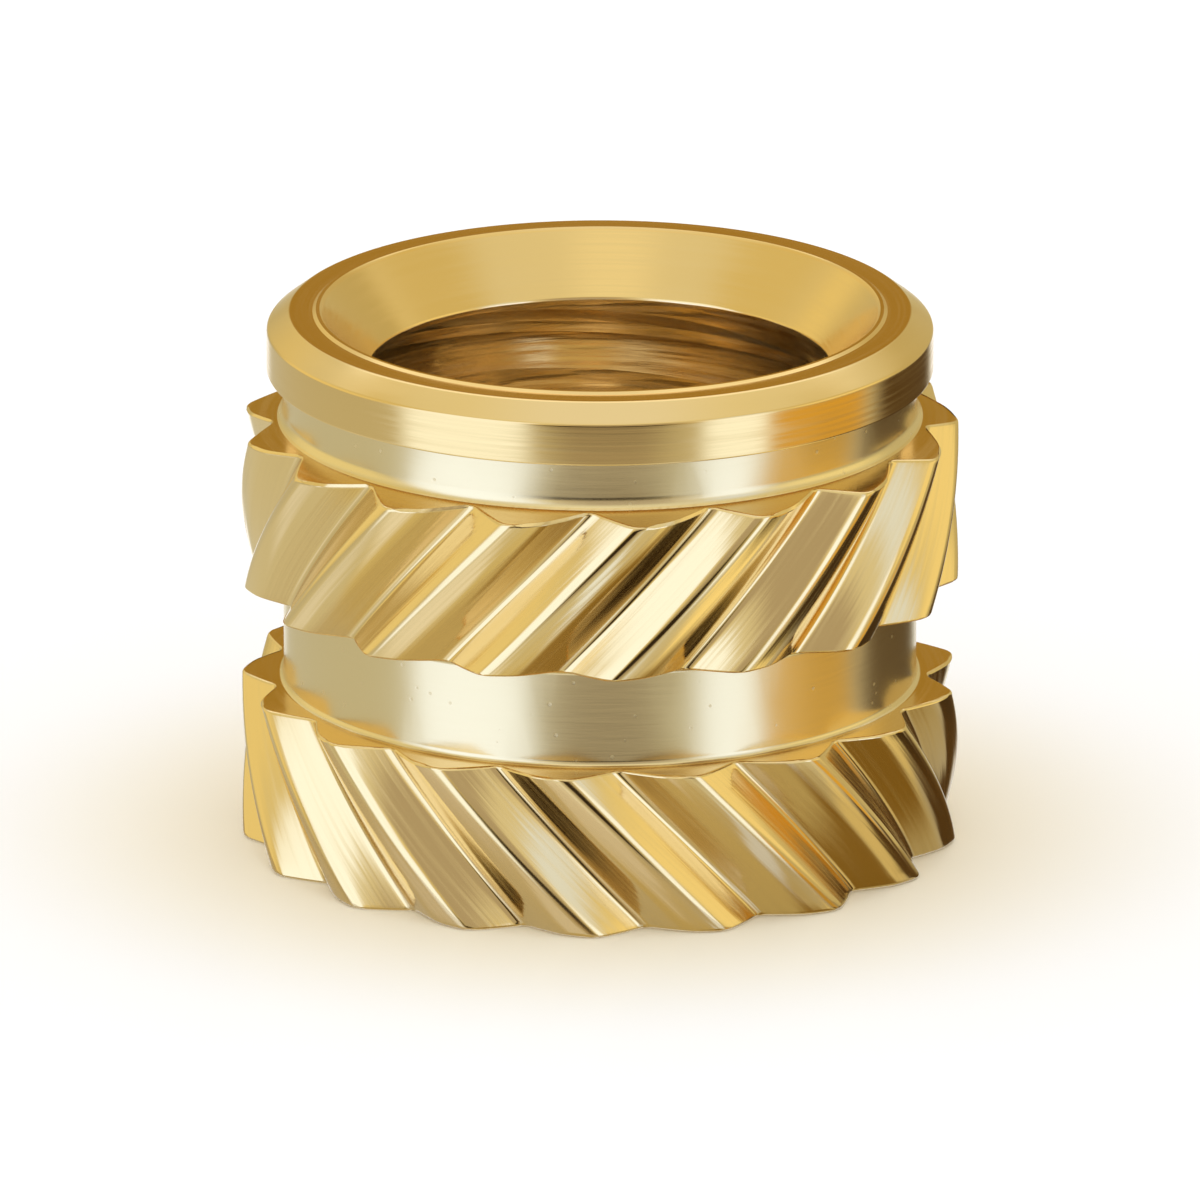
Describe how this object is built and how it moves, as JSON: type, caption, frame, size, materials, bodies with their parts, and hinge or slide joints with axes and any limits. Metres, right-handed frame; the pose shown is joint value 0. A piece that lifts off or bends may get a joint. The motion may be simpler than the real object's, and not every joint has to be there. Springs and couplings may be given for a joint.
{
  "type": "threaded insert",
  "caption": "Round brass insert with a threaded through bore, a countersunk mouth and collar, and two bands of slanted teeth that lock it in plastic.",
  "frame": {"origin": "centre of the flat foot, on the bore's axis", "axes": "+Z along the bore's axis, from the foot to the countersunk mouth; -Y is the front"},
  "size_m": [0.0066, 0.0066, 0.005],
  "materials": {
    "brass": "bright turned brass, with polished slanted teeth and satin necks"
  },
  "bodies": {
    "root": {"insert_body": "brass"}
  },
  "joints": []
}
